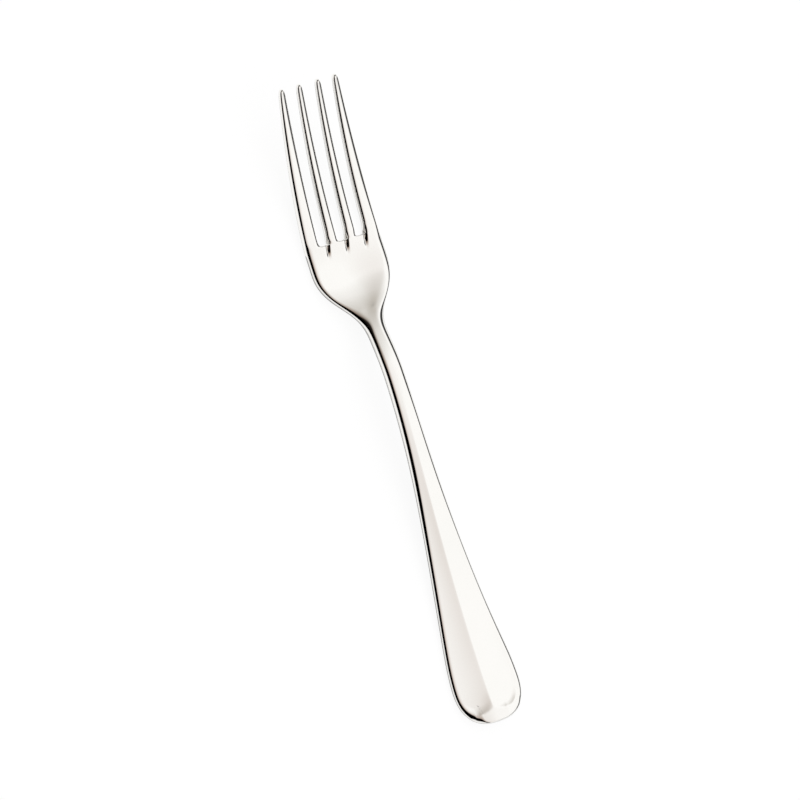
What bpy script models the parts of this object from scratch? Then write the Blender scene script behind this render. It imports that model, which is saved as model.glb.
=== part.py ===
"""Fruit fork: one piece of polished steel, lying face up on a table.

The fork is struck from a single blank, so its zones are the objects here: the handle, the stem, the head
and the four tines. Each zone ends in a flat cut that meets the next zone's cut face to face.

"Along" is the distance from the end of the handle towards the tips of the tines. The frame's origin lies on
the table under the middle of the fork, with +Y towards the tips and +Z out of the fork's face.
"""
import math

import bmesh
import bpy
from mathutils import Vector

# Lengths along the fork, in order from the end of the handle to the tips
END_LENGTH = 0.0104  # rounded end, up to the widest place of the handle
FLANK_LENGTH = 0.0076  # from the widest place to the start of the straight taper
TAPER_LENGTH = 0.033  # straight taper
WAIST_LENGTH = 0.046  # slow curve that runs from the taper into the stem
STEM_LENGTH = 0.0135  # stem of even width
NECK_LENGTH = 0.009  # curve that widens the stem into the middle of the shoulders
SHOULDER_LENGTH = 0.0105  # curve that rounds the shoulders into the head
PALM_LENGTH = 0.0073  # head behind the slots
TINE_LENGTH = 0.0427  # tines, from the bottom of the slots to the tips

# Widths across the fork
HANDLE_WIDTH = 0.0195  # at the widest place
FLANK_WIDTH = 0.0182  # where the straight taper starts
WAIST_WIDTH = 0.0103  # where the straight taper ends
STEM_WIDTH = 0.0059
NECK_WIDTH = 0.0135  # at the middle of the shoulders
INNER_TINE_WIDTH = 0.00307  # at the bottom of the slots
OUTER_TINE_WIDTH = 0.00435  # at the bottom of the slots
SLOT_WIDTH = 0.0025  # at the bottom of the slots
TINE_TIP_WIDTH = 0.0018
INNER_TIP_SPACING = 0.0054  # between the middles of the two inner tips
OUTER_TIP_SPACING = 0.0155  # between the middles of the two outer tips

# Thicknesses, and heights of the underside above the table
HANDLE_THICKNESS = 0.0022  # at the edges
RIDGE_HEIGHT = 0.0004  # crest along the middle of the handle, above its edges
STEM_THICKNESS = 0.0035
HEAD_THICKNESS = 0.0028
TIP_THICKNESS = 0.002
END_HEIGHT = 0.0016  # turned-up end of the handle
ARCH_HEIGHT = 0.0077  # top of the arch, where the handle passes into the stem
NECK_HEIGHT = 0.00285  # at the middle of the shoulders
TIP_HEIGHT = 0.0157  # tips of the tines

# Shape of the curves
FLANK_TAPER = 0.125  # loss of half-width for each unit of length, at the start of the straight taper
WAIST_TAPER = 0.1  # the same at its end
NECK_FLARE = 0.77  # gain of half-width for each unit of length, at the middle of the shoulders
NECK_FALL = 0.36  # loss of height for each unit of length, at the middle of the shoulders
END_TURN = 0.237  # gain of height for each unit of length, at the very end of the handle
END_SQUARENESS = 2.5  # power of the end's outline: 2 is an ellipse, more is squarer
TINE_BULGE = 1.6  # power of the tines' taper: 1 is straight, more keeps them wide for longer
TINE_CURL = 1.5  # power of the tines' rise: 2 curls evenly, less curls most near the palm
REST_LENGTH = 0.0045  # flats that rest on the table, one under the palm and one under the handle
RIM_LENGTH = 0.0036  # plain lip between the end of the ridge and the end of the handle
EDGE_ROUND = 0.0011  # how far the rounding of an edge reaches in from the outline
EDGE_SHARE = 0.45  # most of a narrow section's width that the rounding of one edge may take
ROOT_GAP = 0.0003  # gap between two tines at the bottom of their slot
BLUNT_ANGLE = math.radians(82)  # how far round an end the rings go before a small flat closes it

# How finely the surface is cut into rings
EDGE_STEPS = 6  # facets around one rounded edge
END_RINGS = 9
CURVE_STEP = 0.0025  # greatest distance between two rings
SHARP_ANGLE = math.radians(50)  # edges sharper than this stay sharp in shading

# Places along the fork that follow from the lengths
FLANK_END = END_LENGTH + FLANK_LENGTH
TAPER_END = FLANK_END + TAPER_LENGTH
HANDLE_LENGTH = TAPER_END + WAIST_LENGTH
STEM_END = HANDLE_LENGTH + STEM_LENGTH
NECK_END = STEM_END + NECK_LENGTH
SHOULDER_END = NECK_END + SHOULDER_LENGTH
REST_END = SHOULDER_END + REST_LENGTH
SLOT_ROOT = SHOULDER_END + PALM_LENGTH
LENGTH = SLOT_ROOT + TINE_LENGTH
HEAD_WIDTH = 2 * OUTER_TINE_WIDTH + 2 * INNER_TINE_WIDTH + 3 * SLOT_WIDTH


def smooth_curve(stations):
    """A smooth function through stations, each a place along the fork, a value there and a slope there."""
    def value_at(along):
        for (a, low, low_slope), (b, high, high_slope) in zip(stations, stations[1:]):
            if along <= b:
                span = b - a
                t = min(max((along - a) / span, 0.0), 1.0)
                blend = t * t * (3 - 2 * t)
                bend = low_slope * t * (1 - t) ** 2 - high_slope * t * t * (1 - t)
                return low + (high - low) * blend + bend * span
        return stations[-1][1]
    return value_at


outline = smooth_curve([
    (END_LENGTH, HANDLE_WIDTH / 2, 0),
    (FLANK_END, FLANK_WIDTH / 2, -FLANK_TAPER),
    (TAPER_END, WAIST_WIDTH / 2, -WAIST_TAPER),
    (HANDLE_LENGTH, STEM_WIDTH / 2, 0),
    (STEM_END, STEM_WIDTH / 2, 0),
    (NECK_END, NECK_WIDTH / 2, NECK_FLARE),
    (SHOULDER_END, HEAD_WIDTH / 2, 0),
])
thickness = smooth_curve([
    (TAPER_END, HANDLE_THICKNESS, 0),
    (HANDLE_LENGTH, STEM_THICKNESS, 0),
    (STEM_END, STEM_THICKNESS, 0),
    (SHOULDER_END, HEAD_THICKNESS, 0),
    (SLOT_ROOT, HEAD_THICKNESS, 0),
    (LENGTH, TIP_THICKNESS, 0),
])
ridge = smooth_curve([
    (RIM_LENGTH, 0, 0),
    (END_LENGTH, RIDGE_HEIGHT, 0),
    (TAPER_END, RIDGE_HEIGHT, 0),
    (HANDLE_LENGTH, 0, 0),
])
pressed_arch = smooth_curve([
    (0, END_HEIGHT, -END_TURN),
    (FLANK_END - REST_LENGTH, 0, 0),
    (FLANK_END, 0, 0),
    (HANDLE_LENGTH, ARCH_HEIGHT, 0),
    (NECK_END, NECK_HEIGHT, -NECK_FALL),
    (SHOULDER_END, 0, 0),
])


def underside(along):
    """Height of the underside above the table."""
    if along <= REST_END:
        return pressed_arch(along)
    return TIP_HEIGHT * ((along - REST_END) / (LENGTH - REST_END)) ** TINE_CURL


def ring(along, left, right, fullness=1.0):
    """Closed section of the fork across one place along it, with rounded edges.

    Fullness thins the section towards its middle, for the round ends.
    """
    reach = min(EDGE_ROUND, EDGE_SHARE * (right - left))
    middle = (left + right) / 2
    section = []
    for side, edge in ((1, right), (-1, left)):
        for step in range(EDGE_STEPS + 1):
            angle = side * math.pi * (step / EDGE_STEPS - 0.5)
            x = edge + side * reach * (math.cos(angle) - 1)
            section.append((x, 0.5 * math.sin(angle), 0.0))
        section.append((middle, 0.5 * side, ridge(along) if side > 0 else 0.0))
    points = []
    for x, level, crest in section:
        z = underside(along) + thickness(along) * (0.5 + level * fullness) + crest * fullness
        points.append(Vector((x, along - LENGTH / 2, z)))
    return points


def places(start, end):
    """Evenly spaced places from start to end, no further apart than one step."""
    count = max(1, math.ceil((end - start) / CURVE_STEP))
    return [start + (end - start) * step / count for step in range(count + 1)]


def run(*stops):
    """Places through all the stops, with a ring at each of them."""
    found = [stops[0]]
    for start, end in zip(stops, stops[1:]):
        found += places(start, end)[1:]
    return found


def edge_fullness(depth, reach):
    """Share of the full thickness at a depth in from a rounded end."""
    missing = 1 - min(depth / reach, 1.0)
    return math.sqrt(1 - missing * missing)


def polished_steel():
    material = bpy.data.materials.new("polished_steel")
    material.use_nodes = True
    shader = material.node_tree.nodes["Principled BSDF"]
    shader.inputs["Base Color"].default_value = (0.84, 0.81, 0.78, 1.0)
    shader.inputs["Metallic"].default_value = 1.0
    shader.inputs["Roughness"].default_value = 0.08
    return material


def loft(name, rings, origin, material, collection, parent):
    """One closed zone of the fork, skinned over its rings, with a flat face at each end."""
    bm = bmesh.new()
    loops = []
    for points in rings:
        loops.append([bm.verts.new(point - origin) for point in points])
    for lower, upper in zip(loops, loops[1:]):
        for i in range(len(lower)):
            bm.faces.new((lower[i - 1], lower[i], upper[i], upper[i - 1]))
    bm.faces.new(loops[0])
    bm.faces.new(loops[-1])
    bmesh.ops.recalc_face_normals(bm, faces=bm.faces)
    mesh = bpy.data.meshes.new(name)
    bm.to_mesh(mesh)
    bm.free()
    mesh.shade_smooth()
    mesh.set_sharp_from_angle(angle=SHARP_ANGLE)
    mesh.materials.append(material)
    zone = bpy.data.objects.new(name, mesh)
    zone.location = origin
    zone.parent = parent
    collection.objects.link(zone)


def body_rings(stops):
    """Rings of a zone that spans the whole width of the fork."""
    return [ring(along, -outline(along), outline(along)) for along in run(*stops)]


def handle_rings():
    """The handle starts in a round end, then follows the outline to the top of the arch."""
    rings = []
    power = 2 / END_SQUARENESS
    for step in range(END_RINGS):
        angle = BLUNT_ANGLE * (1 - step / END_RINGS)
        along = END_LENGTH * (1 - (math.sin(angle) / math.sin(BLUNT_ANGLE)) ** power)
        half = HANDLE_WIDTH / 2 * math.cos(angle) ** power
        fullness = max(edge_fullness(along, EDGE_ROUND), math.cos(BLUNT_ANGLE))
        rings.append(ring(along, -half, half, fullness))
    return rings + body_rings((END_LENGTH, FLANK_END - REST_LENGTH, FLANK_END, TAPER_END, HANDLE_LENGTH))


def tine_rings(root_left, root_right, tip_middle, slot_left, slot_right):
    """A tine flares round the bottom of the slots beside it, tapers, curls up and ends in a round tip."""
    slot_radius = SLOT_WIDTH / 2
    tip_radius = TINE_TIP_WIDTH / 2
    depths = [slot_radius * (1 - math.cos(math.pi / 2 * step / EDGE_STEPS)) for step in range(EDGE_STEPS)]
    depths += [along - SLOT_ROOT for along in places(SLOT_ROOT + slot_radius, LENGTH - tip_radius)]
    sections = [(depth, 1.0) for depth in depths]
    for step in range(1, EDGE_STEPS + 1):
        angle = BLUNT_ANGLE * step / EDGE_STEPS
        depth = TINE_LENGTH + tip_radius * (math.sin(angle) / math.sin(BLUNT_ANGLE) - 1)
        sections.append((depth, math.cos(angle)))
    rings = []
    for depth, roundness in sections:
        share = depth / TINE_LENGTH
        root_middle = (root_left + root_right) / 2
        middle = root_middle + (tip_middle - root_middle) * share
        root_width = root_right - root_left
        width = root_width + (TINE_TIP_WIDTH - root_width) * share ** TINE_BULGE
        inset = max(slot_radius - depth, 0.0)
        flare = slot_radius - max(math.sqrt(slot_radius ** 2 - inset ** 2), ROOT_GAP / 2)
        left = middle - roundness * width / 2 - flare * slot_left
        right = middle + roundness * width / 2 + flare * slot_right
        rings.append(ring(SLOT_ROOT + depth, left, right, roundness))
    return rings


def remove_everything():
    for thing in list(bpy.data.objects):
        bpy.data.objects.remove(thing, do_unlink=True)


remove_everything()
fork = bpy.data.collections.new("fruit_fork")
bpy.context.scene.collection.children.link(fork)
centre = bpy.data.objects.new("fork_centre", None)
fork.objects.link(centre)
steel = polished_steel()


def at(along, x=0.0):
    """Origin of a zone: on its own cut, at the height of the underside there."""
    return Vector((x, along - LENGTH / 2, underside(along)))


loft("handle", handle_rings(), at(0), steel, fork, centre)
loft("stem", body_rings((HANDLE_LENGTH, STEM_END)), at(HANDLE_LENGTH), steel, fork, centre)
head_stops = (STEM_END, NECK_END, SHOULDER_END, REST_END, SLOT_ROOT)
loft("head", body_rings(head_stops), at(STEM_END), steel, fork, centre)

inner_left = SLOT_WIDTH / 2
inner_right = inner_left + INNER_TINE_WIDTH
outer_left = inner_right + SLOT_WIDTH
outer_right = outer_left + OUTER_TINE_WIDTH
right_tines = (
    ("inner", inner_left, inner_right, INNER_TIP_SPACING / 2, 1, 1),
    ("outer", outer_left, outer_right, OUTER_TIP_SPACING / 2, 1, 0),
)
for place, near, far, tip, near_slot, far_slot in right_tines:
    root = (near + far) / 2
    right_side = tine_rings(near, far, tip, near_slot, far_slot)
    loft(place + "_right_tine", right_side, at(SLOT_ROOT, root), steel, fork, centre)
    left_side = tine_rings(-far, -near, -tip, far_slot, near_slot)
    loft(place + "_left_tine", left_side, at(SLOT_ROOT, -root), steel, fork, centre)
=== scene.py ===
"""Fruit fork of polished steel, lying face up on a pale table in a soft studio light.

The fork is one piece, so it is one mesh: a flat blank with four tines, pressed to its curve and polished.
"Along" is the distance from the end of the handle towards the tips of the tines, in metres.
"""
import math

import bmesh
import bpy
from mathutils import Matrix, Vector


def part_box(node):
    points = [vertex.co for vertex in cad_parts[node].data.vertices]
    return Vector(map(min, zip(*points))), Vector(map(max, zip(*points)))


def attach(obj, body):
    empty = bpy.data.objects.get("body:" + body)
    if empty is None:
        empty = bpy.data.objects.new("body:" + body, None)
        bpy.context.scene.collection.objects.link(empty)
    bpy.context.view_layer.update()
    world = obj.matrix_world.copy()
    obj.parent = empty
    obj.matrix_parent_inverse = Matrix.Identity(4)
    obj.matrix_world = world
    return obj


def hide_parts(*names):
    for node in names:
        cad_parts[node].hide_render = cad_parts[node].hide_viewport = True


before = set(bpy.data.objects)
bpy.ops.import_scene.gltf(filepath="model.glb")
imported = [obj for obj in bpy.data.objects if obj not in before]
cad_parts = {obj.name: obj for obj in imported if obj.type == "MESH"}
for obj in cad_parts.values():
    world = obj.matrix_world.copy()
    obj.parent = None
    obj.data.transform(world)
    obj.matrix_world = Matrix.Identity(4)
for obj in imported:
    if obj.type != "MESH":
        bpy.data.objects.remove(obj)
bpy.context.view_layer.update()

# The fork, first as its blank: stainless steel sheet, struck out to the fork's outline with its three slots.
# It is drawn flat as a coarse sheet of quads with a rim, which subdivision rounds off like a polished edge.
handle_low, handle_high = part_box("handle")
stem_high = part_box("stem")[1]
head_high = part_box("head")[1]
tine_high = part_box("outer_right_tine")[1]
HANDLE_END = handle_low.y
END_LENGTH = 0.0104  # rounded end, up to the widest place of the handle
FLANK_END = 0.018  # start of the straight taper
TAPER_END = 0.051  # end of the straight taper
HANDLE_LENGTH = handle_high.y - HANDLE_END
STEM_END = stem_high.y - HANDLE_END
NECK_END = 0.1195  # middle of the shoulders
SHOULDER_END = 0.13  # head at its full width
SLOT_ROOT = head_high.y - HANDLE_END
LENGTH = tine_high.y - HANDLE_END
HALF_HANDLE = handle_high.x
HALF_FLANK = 0.0091
HALF_WAIST = 0.00515
HALF_STEM = stem_high.x
HALF_NECK = 0.0068
HALF_HEAD = head_high.x
FLANK_TAPER = 0.125  # loss of half-width for each unit of length, at the start of the straight taper
WAIST_TAPER = 0.1  # the same at its end
NECK_FLARE = 0.78  # gain of half-width for each unit of length, at the middle of the shoulders
SLOT_WIDTH = 0.0025
INNER_TINE_WIDTH = 0.00307
BLANK_THICKNESS = 0.002
RIM_LEVEL = 0.68  # share of the thickness up to which the rim stands straight
BEVEL = 0.4  # share of an edge's rounding that lies outside the border of the face
FLANK_EDGE = 0.0018  # how far the rounding of the left edge reaches in from the outline
HANDLE_EDGE = 0.0017
STEM_EDGE = 0.002
THROAT = 0.1157  # where the rounding is widest, just past the stem
THROAT_EDGE = 0.004
SHOULDER = 0.1225
SHOULDER_EDGE = 0.0016
PALM_EDGE = 0.0021
HEAD_EDGE = 0.0022
TINE_EDGE = 0.0017  # the same at the foot of an outer tine and at the bottoms of the slots
RIGHT_FLANK_EDGE = 0.0013  # the right edge is crisper
RIGHT_HANDLE_EDGE = 0.001
RIGHT_STEM_EDGE = 0.0018
RIGHT_NECK_EDGE = 0.0026
RIGHT_THROAT_EDGE = 0.0036
RIGHT_SHOULDER_EDGE = 0.0036
RIGHT_SHOULDER_BEVEL = 0.06  # BEVEL there, for a broad roll with a crisp edge
RIGHT_PALM_EDGE = 0.0022
RIGHT_HEAD_EDGE = 0.0023
RIGHT_SHOULDER_LEVEL = 0.85  # RIM_LEVEL there
TINE_EDGE_SHARE = 0.46  # most of a tine's width that the rounding of one edge takes
SLOT_RUNOUT = 0.001  # how far the rounding at the bottom of a slot runs into the palm
# Where each stretch of the handle, stem and head starts, and its number of rows
ROWS = ((END_LENGTH, 2), (FLANK_END, 3), (TAPER_END, 3), (HANDLE_LENGTH, 3), (STEM_END, 7),
        (SHOULDER_END, 2), (SLOT_ROOT - SLOT_RUNOUT, 2), (SLOT_ROOT, 0))


def smooth_through(stations):
    """A smooth function through stations, each a place along the fork, a value there and a slope there."""
    def value_at(along):
        for (a, low, low_slope), (b, high, high_slope) in zip(stations, stations[1:]):
            if along <= b:
                t = min(max((along - a) / (b - a), 0.0), 1.0)
                blend = t * t * (3 - 2 * t)
                bend = low_slope * t * (1 - t) ** 2 - high_slope * t * t * (1 - t)
                return low + (high - low) * blend + bend * (b - a)
        return stations[-1][1]
    return value_at


half_width = smooth_through((
    (END_LENGTH, HALF_HANDLE, 0),
    (FLANK_END, HALF_FLANK, -FLANK_TAPER),
    (TAPER_END, HALF_WAIST, -WAIST_TAPER),
    (HANDLE_LENGTH, HALF_STEM, 0),
    (STEM_END, HALF_STEM, 0),
    (NECK_END, HALF_NECK, NECK_FLARE),
    (SHOULDER_END, HALF_HEAD, 0),
))
left_reach = smooth_through((
    (FLANK_END, FLANK_EDGE, 0),
    (TAPER_END, HANDLE_EDGE, 0),
    (HANDLE_LENGTH, STEM_EDGE, 0),
    (STEM_END, STEM_EDGE, 0),
    (THROAT, THROAT_EDGE, 0),
    (SHOULDER, SHOULDER_EDGE, 0),
    (SHOULDER_END, PALM_EDGE, 0),
    (SLOT_ROOT, HEAD_EDGE, 0),
))
right_reach = smooth_through((
    (FLANK_END, RIGHT_FLANK_EDGE, 0),
    (TAPER_END, RIGHT_HANDLE_EDGE, 0),
    (HANDLE_LENGTH, RIGHT_STEM_EDGE, 0),
    (STEM_END, RIGHT_NECK_EDGE, 0),
    (THROAT, RIGHT_THROAT_EDGE, 0),
    (SHOULDER, RIGHT_SHOULDER_EDGE, 0),
    (SHOULDER_END, RIGHT_PALM_EDGE, 0),
    (SLOT_ROOT, RIGHT_HEAD_EDGE, 0),
))
right_bevel, right_level = (smooth_through((
    (THROAT, usual, 0),
    (NECK_END, broad, 0),
    (SHOULDER, broad, 0),
    (SHOULDER_END, usual, 0),
)) for usual, broad in ((BEVEL, RIGHT_SHOULDER_BEVEL), (RIM_LEVEL, RIGHT_SHOULDER_LEVEL)))

# Lines across the palm where the tines and slots start, on the right half from the middle outwards
inner_near = SLOT_WIDTH / 2
inner_far = inner_near + INNER_TINE_WIDTH
outer_near = inner_far + SLOT_WIDTH
half_lines = (
    inner_near, inner_near + INNER_TINE_WIDTH * TINE_EDGE_SHARE,
    inner_far - INNER_TINE_WIDTH * TINE_EDGE_SHARE, inner_far,
    inner_far + SLOT_WIDTH / 2, outer_near, outer_near + TINE_EDGE, HALF_HEAD - TINE_EDGE,
)
line_shares = [x / half_lines[-1] for x in half_lines]
line_shares = [-share for share in reversed(line_shares)] + [0.0] + line_shares
LAST_LINE = len(line_shares) + 1

blank = bmesh.new()
outline = {}  # place on the outline for each point on the border of the face
rim_level = {}  # share of the thickness up to which the rim stands straight there, where it isn't RIM_LEVEL


def points_of(places):
    """Points on the blank's face, each from its place across the fork and along it."""
    return [blank.verts.new((x, HANDLE_END + along, BLANK_THICKNESS)) for x, along in places]


def fill_between(lower, upper):
    """Quads between two rows of points of the same number."""
    for i in range(len(lower) - 1):
        blank.faces.new((lower[i], lower[i + 1], upper[i + 1], upper[i]))


row_places = []
for (start, steps), (end, _) in zip(ROWS, ROWS[1:]):
    row_places += [start + (end - start) * step / steps for step in range(steps)]
row_places.append(SLOT_ROOT)
sides = [half_width(along) for along in row_places]
body_rows = []
for i, along in enumerate(row_places):
    # Subdivision draws a bent outline in by a sixth of its bend, so each side is set out by as much
    before, after = sides[max(i - 1, 0)], sides[min(i + 1, len(sides) - 1)]
    side = sides[i] + (2 * sides[i] - before - after) / 6
    left, right = left_reach(along), right_reach(along)
    across = [left * BEVEL - side]
    across += [share * (side - (right if share > 0 else left)) for share in line_shares]
    across.append(side - right * right_bevel(along))
    row = points_of([(x, along) for x in across])
    outline[row[0]], outline[row[-1]] = (-side, along), (side, along)
    rim_level[row[-1]] = right_level(along)
    body_rows.append(row)
for lower, upper in zip(body_rows, body_rows[1:]):
    fill_between(lower, upper)

# Round end of the handle: two bands of quads follow its outline all the way round
END_SQUARENESS = 2.5  # power of the end's outline: 2 is an ellipse, more is squarer
END_ROWS = 3
CORNER_SHARE = 0.5  # place on each side of the end, by its arc, where its rows turn into rings
ARC_STEPS = 400
RIGHT_END_EDGE = 0.0009  # rounding of the right edge, round to the middle of the end
CORNER_EDGE = 0.0042  # widest rounding, on the left of the end
CORNER_EDGE_START = 0.22  # shares of the arc where that rounding starts, is widest and ends
CORNER_EDGE_FULL = 0.58
CORNER_EDGE_END = 0.76
SECOND_BAND = (1 - line_shares[-2]) * (HALF_HANDLE - HANDLE_EDGE)
arc = []
for step in range(ARC_STEPS + 1):
    angle = math.pi / 2 * step / ARC_STEPS
    x = HALF_HANDLE * max(math.cos(angle), 0.0) ** (2 / END_SQUARENESS)
    arc.append(Vector((x, END_LENGTH * (1 - math.sin(angle) ** (2 / END_SQUARENESS)))))
arc_lengths = [0.0]
for a, b in zip(arc, arc[1:]):
    arc_lengths.append(arc_lengths[-1] + (b - a).length)
left_end_reach = smooth_through((
    (CORNER_EDGE_START, FLANK_EDGE, 0),
    (CORNER_EDGE_FULL, CORNER_EDGE, 0),
    (CORNER_EDGE_END, RIGHT_END_EDGE, 0),
))
right_end_reach = smooth_through((
    (0, RIGHT_FLANK_EDGE, 0),
    (CORNER_EDGE_FULL, RIGHT_END_EDGE, 0),
))


def on_end(share, band, sign):
    """Place on one of the end's bands, at a share of half its arc from the widest place to the middle."""
    reach = right_end_reach(share) if sign > 0 else left_end_reach(share)
    inset = (0.0, reach * BEVEL, reach, reach + SECOND_BAND)[band]
    wanted = min(abs(share), 1.0) * arc_lengths[-1]
    i = max(next(i for i, length in enumerate(arc_lengths) if length >= wanted), 1)
    t = (wanted - arc_lengths[i - 1]) / (arc_lengths[i] - arc_lengths[i - 1])
    here = arc[i - 1].lerp(arc[i], t)
    ahead = arc[min(i + 2, ARC_STEPS)] - arc[max(i - 3, 0)]
    inward = Vector((ahead.y, -ahead.x)).normalized()
    if wanted == 0.0:
        inward = Vector((-1.0, 0.0))
    if wanted == arc_lengths[-1]:
        inward = Vector((0.0, 1.0))
    place = here + inward * inset
    return Vector((place.x * sign, place.y))


arch_count = LAST_LINE - 4  # quads across the end, between its bands
ring_shares = [CORNER_SHARE + (1 - CORNER_SHARE) * (1 - abs(1 - 2 * i / arch_count))
               for i in range(arch_count + 1)]
ring_signs = [1 if 2 * i >= arch_count else -1 for i in range(arch_count + 1)]


def end_ring(band):
    """One band of the end, from corner to corner."""
    return [on_end(share, band, sign) for share, sign in zip(ring_shares, ring_signs)]


inner_ring = end_ring(3)
straight = [(v.co.x, END_LENGTH) for v in body_rows[0]]
end_rows = [body_rows[0]]
for row in range(1, END_ROWS + 1):
    t = row / END_ROWS
    left = [on_end(CORNER_SHARE * t, band, -1) for band in range(4)]
    right = [on_end(CORNER_SHARE * t, band, 1) for band in range(4)]
    flat = [Vector(a).lerp(b, t) for a, b in zip(straight[2:-2], inner_ring)]
    left_miss, right_miss = left[3] - flat[0], right[3] - flat[-1]
    left_width, right_width = flat[0].x, flat[-1].x
    flat = [p + (left_miss * p.x / left_width if p.x < 0 else right_miss * p.x / right_width) for p in flat]
    end_rows.append(points_of(left[1:3] + flat + right[2:0:-1]))
    outline[end_rows[-1][0]], outline[end_rows[-1][-1]] = left[0], right[0]
    fill_between(end_rows[-1], end_rows[-2])
last = end_rows[-1]
first_ring = [last[1]] + points_of(end_ring(2)[1:-1]) + [last[-2]]
face_ring = [last[0]] + points_of(end_ring(1)[1:-1]) + [last[-1]]
outline.update(zip(face_ring, end_ring(0)))
fill_between(first_ring, last[2:-2])
fill_between(face_ring, first_ring)

# Bottoms of the slots, each a column on both sides of a line of the palm
SLOT_COLUMNS = (4, 9, 14)  # points of a row on the middle lines of the slots
SLOT_BEVEL = 0.00012  # how far the face stays back from the bottom
SLOT_FILLET = {0: 0.00045, 0.03: 0.0003}  # rounding of the right corner, at shares of a tine's length
for middle in SLOT_COLUMNS:
    for side in (-1, 0, 1):
        point = body_rows[-1][middle + side]
        outline[point] = (point.co.x - (SLOT_FILLET[0] if side > 0 else 0.0), SLOT_ROOT)
        point.co += Vector((side * TINE_EDGE * BEVEL, -SLOT_BEVEL, 0))

# Tines: each carries on from its three columns of the palm, with its own rounding left and right
TINE_TIP_WIDTH = 0.0019
INNER_TIP = 0.0027  # middle of an inner tip, from the fork's middle
OUTER_TIP = 0.00775
TINE_BULGE = 1.6  # power of the tines' taper: 1 is straight, more keeps them wide for longer
TINE_LEFT_BEVEL = 0.12  # BEVEL on the left of the tines, which has a taller, steeper wall
TINE_LEFT_LEVEL = 0.35  # RIM_LEVEL there
TINE_LEFT_INSET = 0.0001  # how much narrower the tines are there
TINE_LEFT_START = 0.13  # share of a tine after which its left edge has these
TINE_SHARES = (0.03, 0.065, 0.13, 0.24, 0.4, 0.6, 0.8, 0.93, 0.97, 1.0)  # rows of a tine, by its length
TIP_ROUNDING = {0.97: 0.96, 1.0: 0.64}  # what is left of its width in its last rows
TIP_BEVEL = 0.0011  # how far the end of a tip slopes back to its face
TIP_RIM_LEVEL = 0.4  # share of the thickness up to which the end of a tip stands straight
# First point of the palm's last row, both sides at the foot, middle of the tip, reach of both roundings
TINES = (
    (0, -HALF_HEAD, -outer_near, -OUTER_TIP, 0.0016, 0.0012),
    (5, -inner_far, -inner_near, -INNER_TIP, 0.0013, 0.0012),
    (10, inner_near, inner_far, INNER_TIP, 0.0013, 0.0012),
    (15, outer_near, HALF_HEAD, OUTER_TIP, 0.0013, 0.0023),
)
for line, root_left, root_right, tip, left_edge, right_edge in TINES:
    lower = body_rows[-1][line:line + 4]
    for share in TINE_SHARES:
        middle = (root_left + root_right) / 2 * (1 - share) + tip * share
        root_width = root_right - root_left
        width = root_width + (TINE_TIP_WIDTH - root_width) * share ** TINE_BULGE
        width *= TIP_ROUNDING.get(share, 1.0)
        left, right = (min(width * TINE_EDGE_SHARE, edge) for edge in (left_edge, right_edge))
        half = width / 2
        low, high = middle - half, middle + half
        if line:
            low -= SLOT_FILLET.get(share, 0.0)
        wall = min(share / TINE_LEFT_START, 1.0)
        low += TINE_LEFT_INSET * wall
        left_bevel = BEVEL + (TINE_LEFT_BEVEL - BEVEL) * wall
        along = SLOT_ROOT + (LENGTH - SLOT_ROOT) * share
        across = (low + left * left_bevel, low + left, high - right, high - right * BEVEL)
        upper = points_of([(x, along) for x in across])
        outline[upper[0]], outline[upper[-1]] = (low, along), (high, along)
        rim_level[upper[0]] = RIM_LEVEL + (TINE_LEFT_LEVEL - RIM_LEVEL) * wall
        fill_between(lower, upper)
        lower = upper
    for point in upper[1:-1]:
        outline[point] = (point.co.x, LENGTH)
    for point in upper:
        point.co.y -= TIP_BEVEL
        rim_level[point] = TIP_RIM_LEVEL

# Back of the blank, and the rim that joins it to the face
BACK_INSET = 0.00025  # how far the rim leans in at the back
face_points, face_quads = list(blank.verts), list(blank.faces)
border = [edge for edge in blank.edges if edge.is_boundary]
back = {}
for point in face_points:
    place = point.co.xy
    if point in outline:
        x, along = outline[point]
        place = Vector((x, HANDLE_END + along))
        place += (point.co.xy - place).normalized() * BACK_INSET
    back[point] = blank.verts.new((place.x, place.y, 0.0))
for quad in face_quads:
    blank.faces.new([back[point] for point in reversed(quad.verts)])
rim = {}
for point, (x, along) in outline.items():
    level = BLANK_THICKNESS * rim_level.get(point, RIM_LEVEL)
    rim[point] = blank.verts.new((x, HANDLE_END + along, level))
for edge in border:
    a, b = edge.verts
    blank.faces.new((a, b, rim[b], rim[a]))
    blank.faces.new((rim[a], rim[b], back[b], back[a]))
bmesh.ops.recalc_face_normals(blank, faces=blank.faces)
blank_mesh = bpy.data.meshes.new("fork_blank")
blank.to_mesh(blank_mesh)
blank.free()
fork = bpy.data.objects.new("fork", blank_mesh)
bpy.context.scene.collection.objects.link(fork)


# The fork's finish: stainless steel, polished to a mirror on soft wheels along its length.
# It shows a slightly warm white metal, with faint wheel lines and a soft haze where it was handled. The back
# and the lower part of the left edges are rougher, as ground steel is, and their colour is darkened by a
# painted shade that stands in for the fork's shadow on the table, which they mirror: it draws a thin grey
# line.
def add_node(tree, kind, inputs=None, **settings):
    """Adds a node with settings, then sets each input or links it to a socket or a node's first output."""
    node = tree.nodes.new(kind)
    for name, value in settings.items():
        setattr(node, name, value)
    for name, value in (inputs or {}).items():
        if isinstance(value, bpy.types.Node):
            value = value.outputs[0]
        if isinstance(value, bpy.types.NodeSocket):
            tree.links.new(value, node.inputs[name])
        else:
            node.inputs[name].default_value = value
    return node


def linear(hex_colour):
    """Linear colour with full alpha, from an sRGB hex value."""
    parts = [int(hex_colour[i:i + 2], 16) / 255 for i in (0, 2, 4)]
    return [c / 12.92 if c <= 0.04045 else ((c + 0.055) / 1.055) ** 2.4 for c in parts] + [1.0]


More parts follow.
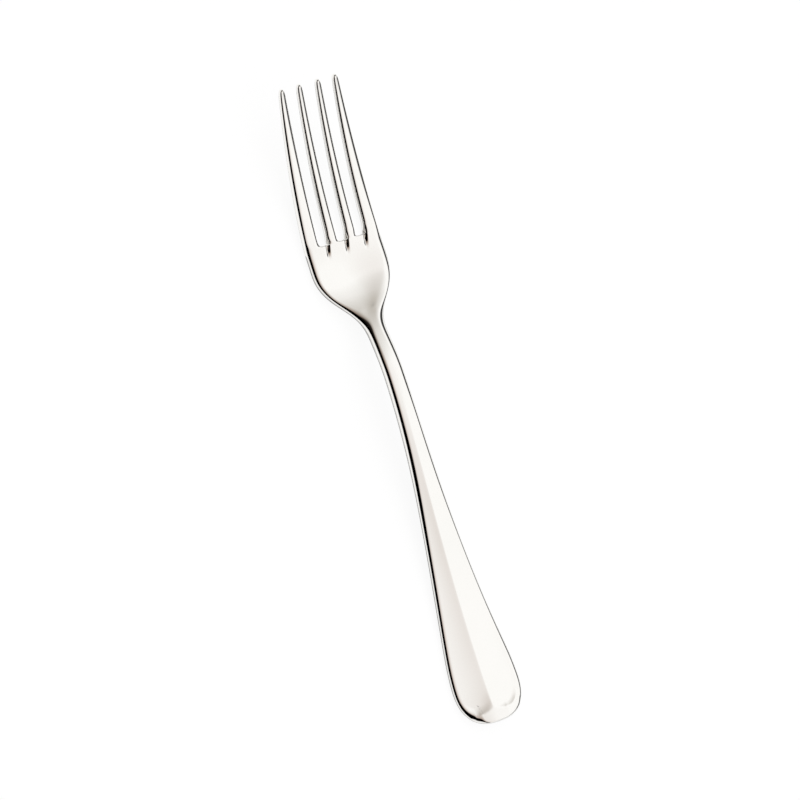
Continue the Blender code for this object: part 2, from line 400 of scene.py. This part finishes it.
STEEL = "f0eeeb"
STEEL_HAZE = "ecebe7"
# painted shade: the dark colour of the back and the lower left edges, in place of the shadowed table they
# mirror
PAINTED_SHADE_STEEL = "5f5c58"
GROUND_ROUGHNESS = 0.3
# What faces away from this side gets the rougher finish and the painted shade; what faces it stays polished
# and unshaded.
POLISHED_LIT_SIDE = (0.33, 0, 0.94)  # the grinding leaves what faces this way polished
EDGE_POLISHED_LIT, EDGE_GROUND_SHADED = -0.36, -0.46  # how far the surface faces that way
WHEEL_LINE = 0.0003  # real wheel lines are some 0.01 mm apart, and are drawn coarser here to show at all
WHEEL_STRETCH = 40  # a line is that many times longer than it is wide
HAZE_SIZE = 0.012
MIRROR_ROUGHNESS = 0.05
HAZE_ROUGHNESS = 0.09
WEAR_LEAST, WEAR_MOST = 0.1, 0.45  # where lines and haze, taken together, give these two

steel = bpy.data.materials.new("polished_stainless_steel")
steel.use_nodes = True
tree = steel.node_tree
spot = add_node(tree, "ShaderNodeTexCoord").outputs["Object"]
along_fork = add_node(tree, "ShaderNodeMapping", {"Vector": spot, "Scale": (1, 1 / WHEEL_STRETCH, 1)})
lines = add_node(tree, "ShaderNodeTexNoise", {
    "Vector": along_fork, "Scale": 1 / WHEEL_LINE, "Detail": 3})
haze = add_node(tree, "ShaderNodeTexNoise", {"Vector": spot, "Scale": 1 / HAZE_SIZE, "Detail": 2})
wear = add_node(tree, "ShaderNodeMath", {0: lines, 1: haze}, operation="MULTIPLY")
rough = add_node(tree, "ShaderNodeMapRange", {
    "Value": wear, "From Min": WEAR_LEAST, "From Max": WEAR_MOST,
    "To Min": MIRROR_ROUGHNESS, "To Max": HAZE_ROUGHNESS})
tint = add_node(tree, "ShaderNodeMix", {
    0: haze, 6: linear(STEEL), 7: linear(STEEL_HAZE)}, data_type="RGBA").outputs[2]
facing = add_node(tree, "ShaderNodeVectorMath", {
    0: add_node(tree, "ShaderNodeTexCoord").outputs["Normal"], 1: POLISHED_LIT_SIDE}, operation="DOT_PRODUCT")
ground_and_shade = add_node(tree, "ShaderNodeMapRange", {
    "Value": facing.outputs["Value"], "From Min": EDGE_POLISHED_LIT, "From Max": EDGE_GROUND_SHADED})
# Painted shade: the colour darkens where the surface faces away from the lit side.
tint = add_node(tree, "ShaderNodeMix", {
    0: ground_and_shade, 6: tint, 7: linear(PAINTED_SHADE_STEEL)}, data_type="RGBA").outputs[2]
rough = add_node(tree, "ShaderNodeMix", {0: ground_and_shade, 2: rough, 3: GROUND_ROUGHNESS}).outputs[0]
shader = tree.nodes["Principled BSDF"]
shader.inputs["Metallic"].default_value = 1.0
tree.links.new(tint, shader.inputs["Base Color"])
tree.links.new(rough, shader.inputs["Roughness"])

# The fork is then pressed between dies: the tines curl up, the palm is dished, the stem arches and the
# handle gets a soft ridge between two hollow facets, which run out just before its turned-up end.
REST_START = 0.0135  # flat under the handle, up to the start of the straight taper
PALM_REST_END = 0.1345
# Places along the fork and sizes are in metres. The curl and the two hollows are powers, the crown falls by
# its value times the square of the place across, and "Lip level", "middle", "fade" and "gone" are shares.
PRESS = {
    "Handle end": HANDLE_END,
    "Rest start": REST_START,
    "Rest end": FLANK_END,
    "Waist start": TAPER_END,
    "Stem start": HANDLE_LENGTH,
    "Stem end": STEM_END,
    "Palm start": 0.122,
    "Palm rest end": PALM_REST_END,
    "Slot root": SLOT_ROOT,
    "Tips": LENGTH,
    "End rise": 0.0015,
    "Arch rise": 0.0077,
    "Arch top": 0.098,
    "Arch end": 0.13,
    "Tip rise": 0.0157,
    "Tine curl": 1.5,
    "Blank thickness": BLANK_THICKNESS,
    "Handle thickness": 0.0022,
    "Stem thickness": 0.0035,
    "Stem crown": 15.0,
    "Crown end": 0.117,
    "Head thickness": 0.0028,
    "Tip thickness": 0.002,
    "Ridge rise": 0.0004,
    "Ridge round": 0.0003,
    "Ridge offset": 0.0004,
    "Ridge full": 0.012,
    "Facet hollow": 2.4,
    "Wide facet": HALF_HANDLE,
    "Narrow facet": HALF_STEM,
    "Lip rise": 0.00065,
    "Lip level": 1.1,
    "Lip length": 0.0033,
    "Lip middle": 0.41,
    "Lip cusp": 0.005,
    "Lip spread": 0.021,
    "Lip fade": 0.35,
    "Lip gone": 0.82,
    "Lip left end": 0.014,
    "Scallop run": 0.0023,
    "Dish start": 0.113,
    "Dish deepest": 0.127,
    "Dish end": 0.137,
    "Dish depth": 0.00036,
    "Dish throat": 0.1175,
    "Half throat": 0.0024,
    "Dish palm": 0.126,
    "Half dish": 0.011,
    "Slot pitch": SLOT_WIDTH + INNER_TINE_WIDTH,
    "Outer slot share": 1.4,
    "Crease line": SLOT_WIDTH / 2,
    "Crease side": SLOT_WIDTH / 2 + 0.0009,
    "Crease hollow": 20.0,
    "Crease start": SLOT_ROOT - 0.0042,
    "Crease end": SLOT_ROOT + 0.0022,
    "Crease depth": 0.0008,
    "Crease top": SLOT_ROOT + 0.0028,
    "Crease lean": 0.17,
}
SUBDIVISION = 3
press = bpy.data.node_groups.new("press", "GeometryNodeTree")
press.is_modifier = True
press.interface.new_socket("Geometry", in_out="INPUT", socket_type="NodeSocketGeometry")
press.interface.new_socket("Geometry", in_out="OUTPUT", socket_type="NodeSocketGeometry")
for name in PRESS:
    press.interface.new_socket(name, in_out="INPUT", socket_type="NodeSocketFloat")
sizes = add_node(press, "NodeGroupInput").outputs
position = add_node(press, "GeometryNodeInputPosition")
position = add_node(press, "ShaderNodeSeparateXYZ", {0: position}).outputs
known = {name: sizes[name] for name in PRESS}
known.update({"across": position["X"], "level": position["Z"]})
known["along"] = add_node(press, "ShaderNodeMath", {
    0: position["Y"], 1: known["Handle end"]}, operation="SUBTRACT")

# Profiles along the fork: a first size, then where each change starts, where it ends and the new size
PROFILES = {
    "arch": (0.0, ("Rest end", "Stem start", "Arch rise"), ("Arch top", "Arch end", 0.0)),
    "thickness": ("Handle thickness", ("Waist start", "Stem start", "Stem thickness"),
                  ("Stem end", "Palm start", "Head thickness"), ("Slot root", "Tips", "Tip thickness")),
    "crown": (0.0, ("Waist start", "Stem start", "Stem crown"), ("Stem end", "Crown end", 0.0)),
    "ridge": ("Lip rise", ("Lip length", "Ridge full", "Ridge rise"), ("Waist start", "Stem start", 0.0)),
    "dish": (0.0, ("Dish start", "Dish deepest", "Dish depth"), ("Dish deepest", "Dish end", 0.0)),
    "crease": (0.0, ("Crease start", "Slot root", "Crease depth"), ("Slot root", "Crease end", 0.0)),
}
for name, (size, *changes) in PROFILES.items():
    size = known.get(size, size)
    for start, end, new_size in changes:
        size = add_node(press, "ShaderNodeMapRange", {
            "Value": known["along"], "From Min": known.get(start, start), "From Max": known.get(end, end),
            "To Min": size, "To Max": known.get(new_size, new_size)}, interpolation_type="SMOOTHSTEP")
    known[name] = size

# Straight changes: what changes, from what, between which two values, and the sizes there
CHANGES = {
    "turn": ("along", 0.0, "Rest start", 1.0, 0.0),
    "curl": ("along", "Palm rest end", "Tips", 0.0, 1.0),
    "facet": ("along", "Rest start", "Stem start", "Wide facet", "Narrow facet"),
    "half_dish": ("along", "Dish throat", "Dish palm", "Half throat", "Half dish"),
}
for name, (value, start, end, low, high) in CHANGES.items():
    known[name] = add_node(press, "ShaderNodeMapRange", {
        "Value": known[value], "From Min": known.get(start, start), "From Max": known[end],
        "To Min": known.get(low, low), "To Max": known.get(high, high)})

# The sums that give each point its height, in order: the result, what is done, and what it is done to
SUMS = (
    ("turn", "MULTIPLY", "turn", "turn"),
    ("arch", "MULTIPLY_ADD", "turn", "End rise", "arch"),
    ("curl", "POWER", "curl", "Tine curl"),
    ("underside", "MULTIPLY_ADD", "curl", "Tip rise", "arch"),
    ("round_squared", "MULTIPLY", "Ridge round", "Ridge round"),
    ("off_ridge", "ADD", "across", "Ridge offset"),
    ("off_ridge", "MULTIPLY_ADD", "off_ridge", "off_ridge", "round_squared"),
    ("off_ridge", "SQRT", "off_ridge"),
    ("off_ridge", "SUBTRACT", "off_ridge", "Ridge round"),
    ("off_ridge", "DIVIDE", "off_ridge", "facet"),
    ("off_ridge", "MINIMUM", "off_ridge", 1.0),
    ("below_ridge", "SUBTRACT", 1.0, "off_ridge"),
    ("crest", "POWER", "below_ridge", "Facet hollow"),
    ("off_scallop", "SUBTRACT", "off_ridge", "Lip middle"),
    ("spread", "MAXIMUM", "off_scallop", 0.0),
    ("spread", "MULTIPLY", "spread", "spread"),
    ("cusp", "MINIMUM", "off_scallop", 0.0),
    ("cusp", "MULTIPLY", "cusp", "cusp"),
    ("scallop", "MULTIPLY_ADD", "spread", "Lip spread", "Lip length"),
    ("scallop", "MULTIPLY_ADD", "cusp", "Lip cusp", "scallop"),
    ("scallop", "SUBTRACT", "along", "scallop"),
    ("scallop", "DIVIDE", "scallop", "Scallop run"),
    ("lip", "SUBTRACT", 1.0, "scallop"),
    ("lip", "MAXIMUM", "lip", 0.0),
    ("lip", "MINIMUM", "lip", 1.0),
    ("lip", "MULTIPLY", "lip", "lip"),
    ("lip_width", "SUBTRACT", "Lip gone", "Lip fade"),
    ("lip_share", "SUBTRACT", "Lip gone", "off_ridge"),
    ("lip_share", "DIVIDE", "lip_share", "lip_width"),
    ("lip_share", "MAXIMUM", "lip_share", 0.0),
    ("lip_share", "MINIMUM", "lip_share", 1.0),
    ("lip_left", "ADD", "across", "Lip left end"),
    ("lip_left", "DIVIDE", "lip_left", "Lip left end"),
    ("lip_left", "MAXIMUM", "lip_left", 0.0),
    ("lip_share", "MINIMUM", "lip_share", "lip_left"),
    ("lip", "MULTIPLY", "lip", "lip_share"),
    ("hollow", "SUBTRACT", "Lip level", "crest"),
    ("crest", "MULTIPLY_ADD", "lip", "hollow", "crest"),
    ("relief", "MULTIPLY_ADD", "ridge", "crest", "thickness"),
    ("across_squared", "MULTIPLY", "across", "across"),
    ("crown", "MULTIPLY", "crown", "across_squared"),
    ("relief", "SUBTRACT", "relief", "crown"),
    ("off_middle", "DIVIDE", "across", "half_dish"),
    ("off_middle", "MULTIPLY", "off_middle", "off_middle"),
    ("dish_share", "SUBTRACT", 1.0, "off_middle"),
    ("dish_share", "MAXIMUM", "dish_share", 0.0),
    ("dish_share", "MULTIPLY", "dish_share", "dish_share"),
    ("dish", "MULTIPLY", "dish", "dish_share"),
    ("relief", "SUBTRACT", "relief", "dish"),
    ("half_pitch", "MULTIPLY", "Slot pitch", 0.5),
    ("minus_half_pitch", "MULTIPLY", "Slot pitch", -0.5),
    ("right_slot", "MULTIPLY", "Slot pitch", "Outer slot share"),
    ("left_slot", "MULTIPLY", "right_slot", -1.0),
    ("off_slot", "MINIMUM", "across", "right_slot"),
    ("off_slot", "MAXIMUM", "off_slot", "left_slot"),
    ("off_slot", "WRAP", "off_slot", "half_pitch", "minus_half_pitch"),
    ("crease_run", "SUBTRACT", "Crease top", "along"),
    ("crease_run", "MAXIMUM", "crease_run", 0.0),
    ("off_slot", "MULTIPLY_ADD", "crease_run", "Crease lean", "off_slot"),
    ("crease_in", "DIVIDE", "off_slot", "Crease line"),
    ("crease_in", "MULTIPLY_ADD", "crease_in", 0.5, 0.5),
    ("crease_in", "MAXIMUM", "crease_in", 0.0),
    ("crease_in", "POWER", "crease_in", "Crease hollow"),
    ("crease_width", "SUBTRACT", "Crease side", "Crease line"),
    ("crease_out", "SUBTRACT", "Crease side", "off_slot"),
    ("crease_out", "DIVIDE", "crease_out", "crease_width"),
    ("crease_share", "MINIMUM", "crease_in", "crease_out"),
    ("crease_share", "MAXIMUM", "crease_share", 0.0),
    ("crease", "MULTIPLY", "crease", "crease_share"),
    ("relief", "SUBTRACT", "relief", "crease"),
    ("share", "DIVIDE", "level", "Blank thickness"),
    ("height", "MULTIPLY_ADD", "share", "relief", "underside"),
)
for name, operation, *values in SUMS:
    inputs = {i: known.get(value, value) for i, value in enumerate(values)}
    known[name] = add_node(press, "ShaderNodeMath", inputs, operation=operation)

place = add_node(press, "ShaderNodeCombineXYZ", {
    "X": position["X"], "Y": position["Y"], "Z": known["height"]})
rounded = add_node(press, "GeometryNodeSubdivisionSurface", {
    "Mesh": sizes["Geometry"], "Level": SUBDIVISION})
shaped = add_node(press, "GeometryNodeSetPosition", {"Geometry": rounded, "Position": place})
smooth = add_node(press, "GeometryNodeSetShadeSmooth", {"Geometry": shaped})
real = add_node(press, "GeometryNodeRealizeInstances", {"Geometry": smooth})
polished = add_node(press, "GeometryNodeSetMaterial", {"Geometry": real, "Material": steel})
add_node(press, "NodeGroupOutput", {"Geometry": polished})

modifier = fork.modifiers.new("press", "NODES")
modifier.node_group = press
for item in press.interface.items_tree:
    if item.in_out == "INPUT" and item.name in PRESS:
        modifier[item.identifier] = PRESS[item.name]
pressed = bpy.data.meshes.new_from_object(fork.evaluated_get(bpy.context.evaluated_depsgraph_get()))
fork.modifiers.remove(modifier)
fork.data = pressed
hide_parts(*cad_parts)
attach(fork, "root")

# The table: a wide sheet of matt white board, which takes the fork's soft shadow.
# It is white to the camera and in the metal. In the metal it carries a painted shadow: its glow is darkened
# where the fork lies close to it.
FLOOR_SIZE = 6.0
BOARD_WHITE = "ffffff"
BOARD_GREY = "707172"  # what the light shows of it, under the glow
BOARD_GLOW = 0.93  # to the camera; in the metal it is 1
CONTACT_REACH = 0.015  # how close the fork has to be to darken the board in the metal
CONTACT_POWER = 3.0
CONTACT_END = SLOT_ROOT - 0.004, SLOT_ROOT - 0.001  # where this changes to the reach of the tines
TINE_CONTACT_REACH = 0.0003  # beyond the tines' height, so that the board stays white between them
floor_mesh = bpy.data.meshes.new("table")
sheet = bmesh.new()
bmesh.ops.create_grid(sheet, x_segments=1, y_segments=1, size=FLOOR_SIZE / 2)
sheet.to_mesh(floor_mesh)
sheet.free()
board = bpy.data.materials.new("matt_white_board")
board.use_nodes = True
tree = board.node_tree
tree.nodes.remove(tree.nodes["Principled BSDF"])
spot = add_node(tree, "ShaderNodeTexCoord").outputs["Object"]
spot = add_node(tree, "ShaderNodeSeparateXYZ", {0: spot}).outputs
lift = add_node(tree, "ShaderNodeMapRange", {
    "Value": spot["Y"], "From Min": HANDLE_END + PALM_REST_END, "From Max": HANDLE_END + LENGTH})
lift = add_node(tree, "ShaderNodeMath", {0: lift, 1: PRESS["Tine curl"]}, operation="POWER")
reach = add_node(tree, "ShaderNodeMath", {
    0: lift, 1: PRESS["Tip rise"], 2: TINE_CONTACT_REACH}, operation="MULTIPLY_ADD")
reach = add_node(tree, "ShaderNodeMapRange", {
    "Value": spot["Y"], "From Min": HANDLE_END + CONTACT_END[0], "From Max": HANDLE_END + CONTACT_END[1],
    "To Min": CONTACT_REACH, "To Max": reach})
# Painted shadow: the board's glow seen in the metal is darkened by how much of the sky the fork hides close
# by.
open_sky = add_node(tree, "ShaderNodeAmbientOcclusion", {"Distance": reach}, samples=8).outputs["AO"]
open_sky = add_node(tree, "ShaderNodeMath", {0: open_sky, 1: CONTACT_POWER}, operation="POWER")
rays = add_node(tree, "ShaderNodeLightPath").outputs
mirrored = add_node(tree, "ShaderNodeMath", {
    0: rays["Is Glossy Ray"], 1: rays["Is Transmission Ray"]}, operation="MAXIMUM")
mirrored = add_node(tree, "ShaderNodeMath", {0: mirrored, 1: open_sky}, operation="MULTIPLY")
seen = add_node(tree, "ShaderNodeMath", {
    0: rays["Is Camera Ray"], 1: BOARD_GLOW, 2: mirrored}, operation="MULTIPLY_ADD")
matt = add_node(tree, "ShaderNodeBsdfDiffuse", {"Color": linear(BOARD_GREY)})
glow = add_node(tree, "ShaderNodeEmission", {"Color": linear(BOARD_WHITE), "Strength": seen})
both = add_node(tree, "ShaderNodeAddShader", {0: matt, 1: glow})
tree.links.new(both.outputs[0], tree.nodes["Material Output"].inputs["Surface"])
floor_mesh.materials.append(board)
table = bpy.data.objects.new("table", floor_mesh)
bpy.context.scene.collection.objects.link(table)

# The studio: a pale room with a large softbox overhead, brightest on the right. The fork's dark lines and
# shades come from a black flag on the left, darkness on the right and beyond the tips, and a dim warm end.
# Places on the ceiling are in units of its height above the table, to the right and ahead towards the tips.
SOFTBOX_LEFT = "b5a297"
SOFTBOX_RIGHT = "ffffff"
SOFTBOX_STRENGTH = 1.14
SOFTBOX_DIM, SOFTBOX_FULL = -0.4, 0.36  # to the right
FLAG_TURN = 0.323  # the flag's edge moves left by this much for each unit ahead
FLAG_SLANT_END = -1.0  # ahead, where the flag's edge stops turning
FLAG_BLACK, FLAG_END = -0.43, -0.29
BULGE_PLACE, BULGE_HALF, BULGE_DEPTH = -0.42, 0.25, 0.12  # ahead, where the flag's edge bulges to the right
FLAG_FRONT_TURN, FLAG_FRONT, FLAG_FRONT_END = 0.45, 0.7, 0.9  # the flag's front edge, which turns too
FLAG_CUT_LEFT, FLAG_CUT_TURN, FLAG_CUT_BACK = -0.35, 0.8, 0.65  # its corner on the left behind is cut off
DARKNESS = 0.05
DARK_TURN = -0.35  # as for the flag
DARK_START, DARK_FULL = 0.75, 1.15  # to the right
NOTCH_PLACE, NOTCH_HALF, NOTCH_DEPTH = -0.3, 0.3, 0.5  # ahead, where the darkness on the right draws back
DARK_ENDS_TURN, DARK_ENDS, DARK_ENDS_OPEN = -0.35, 0.85, 1.1  # both ends of the darkness on the right
DARK_BACK = -0.6  # how much further it reaches behind
TIPS_SHADE = "c4c0ba"
TIPS_TURN = -1.1  # the dim end starts this much nearer for each unit to the left
TIPS_BRIGHT, TIPS_DIM = 0.0, 0.77
BEYOND_START, BEYOND_FULL = 0.77, 1.15  # the darkness beyond the tips
BEYOND_LAST, BEYOND_END = 1.9, 2.4
WALL_STRENGTH = 0.95  # the pale room, past the flag and the darkness and low on the left
WALL_FULL, WALL_TOP = 0.1, 0.16
WALL_RIGHT, WALL_END = 0.0, 0.3
LOWEST = 0.03  # keeps places on the ceiling finite near the level of the table
world = bpy.data.worlds.new("studio")
bpy.context.scene.world = world
world.use_nodes = True
tree = world.node_tree
view = add_node(tree, "ShaderNodeTexCoord").outputs["Generated"]
view = add_node(tree, "ShaderNodeSeparateXYZ", {0: view}).outputs
up = add_node(tree, "ShaderNodeMath", {0: view["Z"], 1: LOWEST}, operation="MAXIMUM")
right = add_node(tree, "ShaderNodeMath", {0: view["X"], 1: up}, operation="DIVIDE")
ahead = add_node(tree, "ShaderNodeMath", {0: view["Y"], 1: up}, operation="DIVIDE")
flag_ahead = add_node(tree, "ShaderNodeMath", {0: ahead, 1: FLAG_SLANT_END}, operation="MAXIMUM")
edges = []
for place, slant, middle, half, depth in ((flag_ahead, FLAG_TURN, BULGE_PLACE, BULGE_HALF, BULGE_DEPTH),
                                          (ahead, DARK_TURN, NOTCH_PLACE, NOTCH_HALF, NOTCH_DEPTH)):
    bulge = add_node(tree, "ShaderNodeMath", {0: ahead, 1: middle}, operation="SUBTRACT")
    bulge = add_node(tree, "ShaderNodeMath", {0: bulge}, operation="ABSOLUTE")
    bulge = add_node(tree, "ShaderNodeMapRange", {
        "Value": bulge, "From Min": 0.0, "From Max": half, "To Min": depth, "To Max": 0.0},
        interpolation_type="SMOOTHSTEP")
    edge = add_node(tree, "ShaderNodeMath", {0: place, 1: slant, 2: right}, operation="MULTIPLY_ADD")
    edges.append(add_node(tree, "ShaderNodeMath", {0: edge, 1: bulge}, operation="SUBTRACT"))
flag_side, dark_side = edges
light = add_node(tree, "ShaderNodeMapRange", {
    "Value": right, "From Min": SOFTBOX_DIM, "From Max": SOFTBOX_FULL})
softbox = add_node(tree, "ShaderNodeMix", {
    0: light, 6: linear(SOFTBOX_LEFT), 7: linear(SOFTBOX_RIGHT)}, data_type="RGBA").outputs[2]
tips_side = add_node(tree, "ShaderNodeMath", {0: right, 1: TIPS_TURN, 2: ahead}, operation="MULTIPLY_ADD")
shade = add_node(tree, "ShaderNodeMapRange", {
    "Value": tips_side, "From Min": TIPS_BRIGHT, "From Max": TIPS_DIM})
shade = add_node(tree, "ShaderNodeMix", {
    0: shade, 6: linear(SOFTBOX_RIGHT), 7: linear(TIPS_SHADE)}, data_type="RGBA").outputs[2]
softbox = add_node(tree, "ShaderNodeMix", {
    0: 1.0, 6: softbox, 7: shade}, data_type="RGBA", blend_type="MULTIPLY").outputs[2]
flag_front = add_node(tree, "ShaderNodeMath", {
    0: right, 1: FLAG_FRONT_TURN, 2: ahead}, operation="MULTIPLY_ADD")
cut_left = add_node(tree, "ShaderNodeMath", {0: FLAG_CUT_LEFT, 1: right}, operation="SUBTRACT")
cut_back = add_node(tree, "ShaderNodeMath", {
    0: right, 1: FLAG_CUT_TURN, 2: FLAG_CUT_BACK}, operation="MULTIPLY_ADD")
cut_back = add_node(tree, "ShaderNodeMath", {0: cut_back, 1: ahead}, operation="SUBTRACT")
cut = add_node(tree, "ShaderNodeMath", {0: cut_left, 1: cut_back}, operation="MINIMUM")
flag_front = add_node(tree, "ShaderNodeMath", {0: flag_front, 1: cut}, operation="MAXIMUM")
behind = add_node(tree, "ShaderNodeMath", {0: DARK_BACK, 1: ahead}, operation="SUBTRACT")
dark_ends = add_node(tree, "ShaderNodeMath", {0: ahead, 1: behind}, operation="MAXIMUM")
dark_ends = add_node(tree, "ShaderNodeMath", {
    0: right, 1: DARK_ENDS_TURN, 2: dark_ends}, operation="MULTIPLY_ADD")
wall = add_node(tree, "ShaderNodeMapRange", {
    "Value": view["Z"], "From Min": WALL_FULL, "From Max": WALL_TOP, "To Min": 1.0, "To Max": 0.0})
wall_end = add_node(tree, "ShaderNodeMapRange", {
    "Value": view["X"], "From Min": WALL_RIGHT, "From Max": WALL_END, "To Min": 1.0, "To Max": 0.0})
wall = add_node(tree, "ShaderNodeMath", {0: wall, 1: wall_end}, operation="MULTIPLY")
dimmed, opened = 1.0, 1.0
for value, start, end, low, high, far, far_start, far_end in (
        (flag_side, FLAG_BLACK, FLAG_END, 0.0, 1.0, flag_front, FLAG_FRONT, FLAG_FRONT_END),
        (dark_side, DARK_START, DARK_FULL, 1.0, DARKNESS, dark_ends, DARK_ENDS, DARK_ENDS_OPEN),
        (tips_side, BEYOND_START, BEYOND_FULL, 1.0, DARKNESS, tips_side, BEYOND_LAST, BEYOND_END)):
    change = add_node(tree, "ShaderNodeMapRange", {
        "Value": value, "From Min": start, "From Max": end, "To Min": low, "To Max": high},
        interpolation_type="SMOOTHSTEP")
    past = add_node(tree, "ShaderNodeMapRange", {
        "Value": far, "From Min": far_start, "From Max": far_end, "To Min": change, "To Max": 1.0},
        interpolation_type="SMOOTHSTEP")
    dimmed = add_node(tree, "ShaderNodeMath", {0: change, 1: dimmed}, operation="MULTIPLY")
    opened = add_node(tree, "ShaderNodeMath", {0: past, 1: opened}, operation="MULTIPLY")
opened = add_node(tree, "ShaderNodeMath", {0: opened, 1: dimmed}, operation="SUBTRACT")
room = add_node(tree, "ShaderNodeMath", {0: wall, 1: opened}, operation="MAXIMUM")
strength = add_node(tree, "ShaderNodeMath", {0: dimmed, 1: SOFTBOX_STRENGTH}, operation="MULTIPLY")
colour = add_node(tree, "ShaderNodeMix", {
    0: room, 6: softbox, 7: linear(SOFTBOX_RIGHT)}, data_type="RGBA").outputs[2]
strength = add_node(tree, "ShaderNodeMix", {0: room, 2: strength, 3: WALL_STRENGTH}).outputs[0]
tree.links.new(colour, tree.nodes["Background"].inputs["Color"])
tree.links.new(strength, tree.nodes["Background"].inputs["Strength"])

# The camera: a long lens, a little to the left of straight above, turned so that the fork lies aslant.
# It is aimed at a point close to the fork's middle, so it needs no shift.
LENS = 150
VIEW_TILT = math.radians(17.5)
VIEW_ROLL = math.radians(18.0)
VIEW_DISTANCE = 0.902
AIM_HEIGHT = 0.005
AIM_RIGHT = 0.00029  # how far the picture's middle lies from the fork's middle
AIM_UP = 0.001345
to_camera = Vector((-math.sin(VIEW_TILT), 0, math.cos(VIEW_TILT)))
level_right = Vector((math.cos(VIEW_TILT), 0, math.sin(VIEW_TILT)))
level_up = Vector((0, 1, 0))
picture_right = math.cos(VIEW_ROLL) * level_right - math.sin(VIEW_ROLL) * level_up
picture_up = math.sin(VIEW_ROLL) * level_right + math.cos(VIEW_ROLL) * level_up
aim = Vector((0, 0, AIM_HEIGHT)) + AIM_RIGHT * picture_right + AIM_UP * picture_up
camera_data = bpy.data.cameras.new("camera")
camera_data.lens = LENS
camera_data.clip_start = 0.01
camera = bpy.data.objects.new("camera", camera_data)
bpy.context.scene.collection.objects.link(camera)
turn = Matrix((picture_right, picture_up, to_camera)).transposed()
camera.matrix_world = Matrix.Translation(aim + to_camera * VIEW_DISTANCE) @ turn.to_4x4()
bpy.context.scene.camera = camera
bpy.context.scene.view_settings.view_transform = "Standard"
